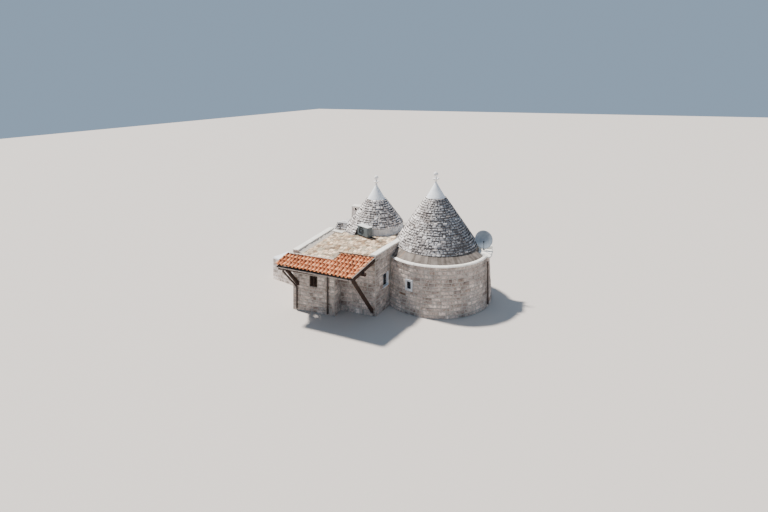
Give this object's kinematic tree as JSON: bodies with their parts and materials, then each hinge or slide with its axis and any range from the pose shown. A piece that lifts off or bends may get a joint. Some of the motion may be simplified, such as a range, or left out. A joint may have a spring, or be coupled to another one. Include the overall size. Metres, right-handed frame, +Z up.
{
  "type": "trullo house",
  "caption": "Round dry-stone house with a tall stone cone and a smaller cone behind, joined to a flat-roofed stone block with a tiled lean-to canopy.",
  "frame": {"origin": "on the level floor, under the middle of the house's box", "axes": "+X runs along the facade of the flat-roofed block towards the main cone, +Y goes into the house, +Z is up"},
  "size_m": [10.9444, 7.8736, 5.8183],
  "materials": {
    "wall_stone": "rough coursed limestone with some brown blocks",
    "roof_stone": "thin dry-laid grey limestone slabs",
    "limewash": "smooth brushed limewash",
    "limewashed_stone": "sawn cream stone, weathered",
    "lime_plaster": "floated lime plaster with stains",
    "roof_paving": "sawn beige stone slabs",
    "terracotta": "fired clay barrel tiles, unglazed",
    "dark_timber": "dark brown stain, matt",
    "brown_sheet": "dark brown coating, satin",
    "grey_sheet": "light grey coating, satin"
  },
  "bodies": {
    "root": {"main_wall_front": "wall_stone", "main_wall_back": "wall_stone", "main_wall_inner": "wall_stone", "doorway_lintels": "wall_stone", "main_coping": "limewashed_stone", "main_ledge": "lime_plaster", "main_cone": "roof_stone", "main_cap": "limewash", "main_pinnacle": "limewash", "rear_wall_left": "wall_stone", "rear_wall_right": "wall_stone", "rear_ring": "lime_plaster", "rear_cone": "roof_stone", "rear_cap": "limewash", "rear_pinnacle": "limewash", "front_wall_left": "wall_stone", "front_wall_right": "wall_stone", "left_wall": "wall_stone", "right_wall": "wall_stone", "back_wall": "wall_stone", "hearth_bay": "wall_stone", "flat_roof": "roof_paving", "block_coping": "limewashed_stone", "back_parapet": "wall_stone", "stepped_roof": "roof_stone", "canopy_tiles": "terracotta", "canopy_boards": "dark_timber", "canopy_verges": "dark_timber", "canopy_rafters": "dark_timber", "canopy_beams": "dark_timber", "canopy_struts": "dark_timber", "gutter": "brown_sheet", "downpipes": "brown_sheet", "window_shutters": "dark_timber", "window_surround": "lime_plaster", "rear_door": "dark_timber", "chimney_shaft": "lime_plaster", "chimney_piers": "limewashed_stone", "chimney_slab": "limewashed_stone", "annex_walls": "lime_plaster", "annex_roof": "limewash", "air_unit": "grey_sheet", "air_unit_rails": "brown_sheet", "dish": "grey_sheet", "dish_mount": "grey_sheet"}
  },
  "joints": []
}
